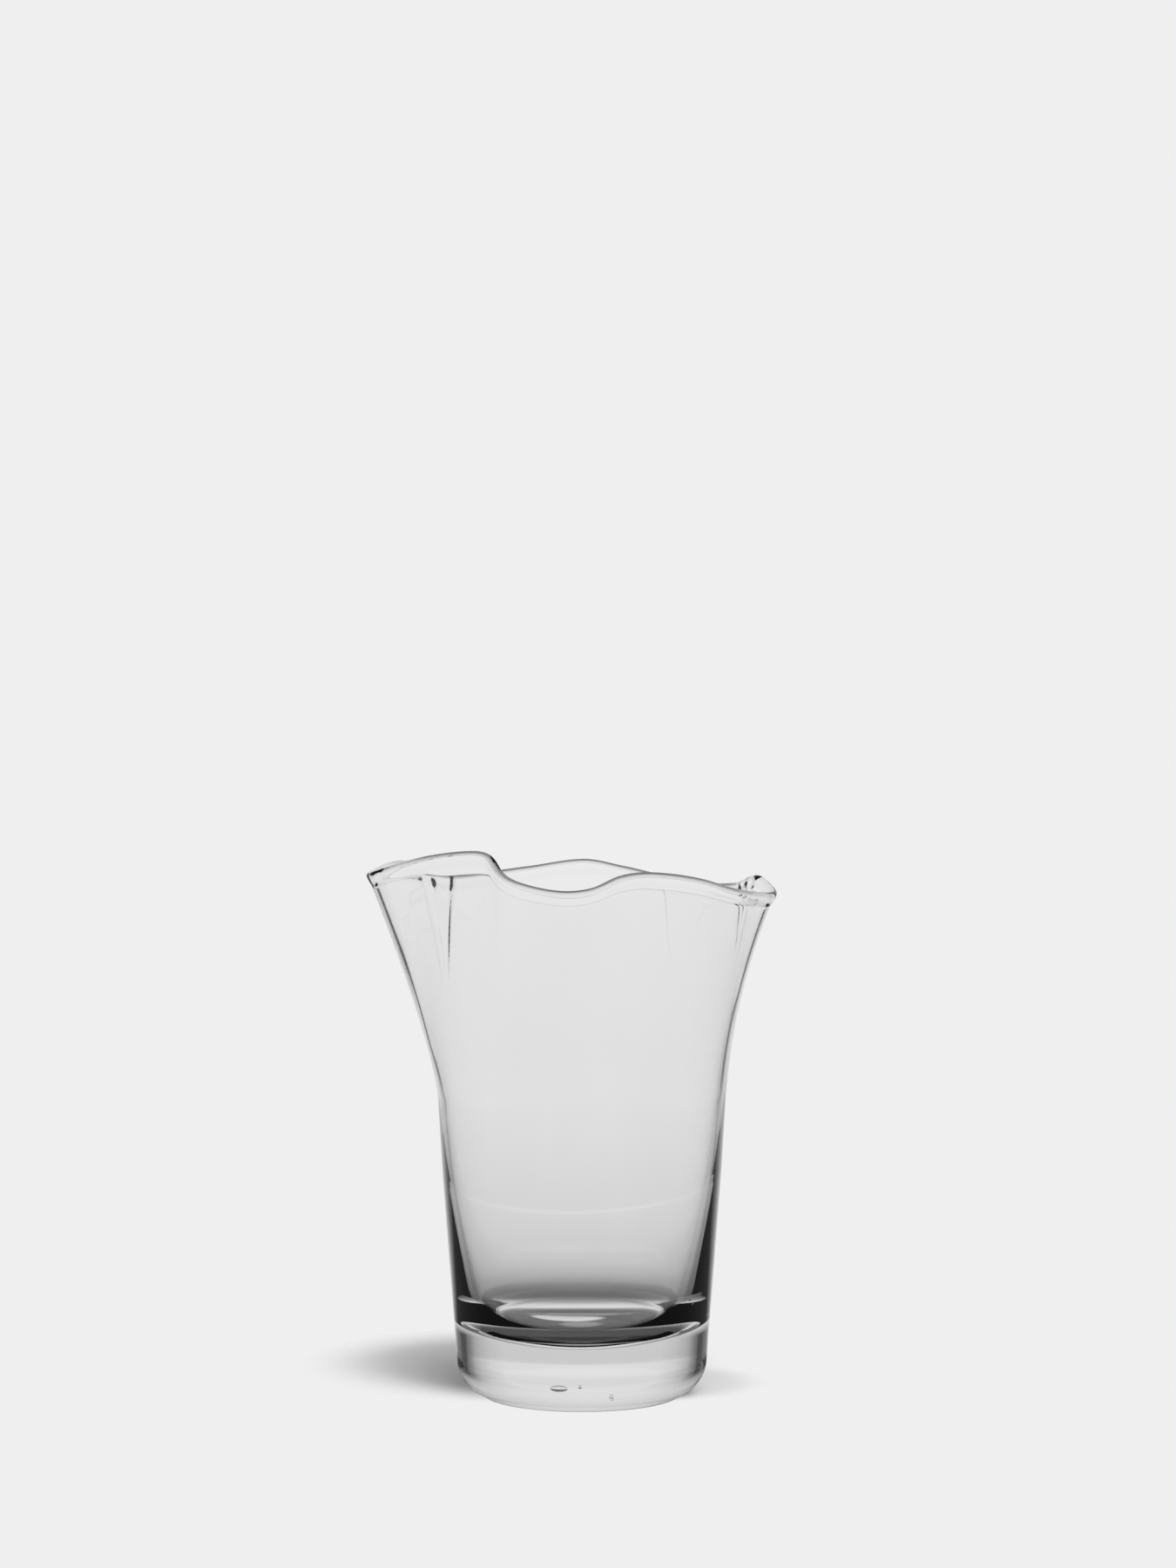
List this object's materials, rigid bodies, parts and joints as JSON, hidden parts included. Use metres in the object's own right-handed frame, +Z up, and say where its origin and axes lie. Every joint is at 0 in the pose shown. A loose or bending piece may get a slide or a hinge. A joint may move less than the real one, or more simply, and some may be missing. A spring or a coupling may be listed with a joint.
{
  "type": "fan vase",
  "caption": "Clear hand-blown glass vase with a thick heavy base, a straight tapered body and a wavy, pleated mouth that fans out to both sides.",
  "frame": {"origin": "middle of the flat foot, on the surface that the vase stands on", "axes": "+Z up, -Y towards the front of the mouth, -X towards the longer side fan"},
  "size_m": [0.1187, 0.0921, 0.1616],
  "materials": {
    "clear_glass": "fire-polished, clear"
  },
  "bodies": {
    "root": {"blown_bowl": "clear_glass", "heavy_base": "clear_glass", "rim_bead": "clear_glass"}
  },
  "joints": []
}
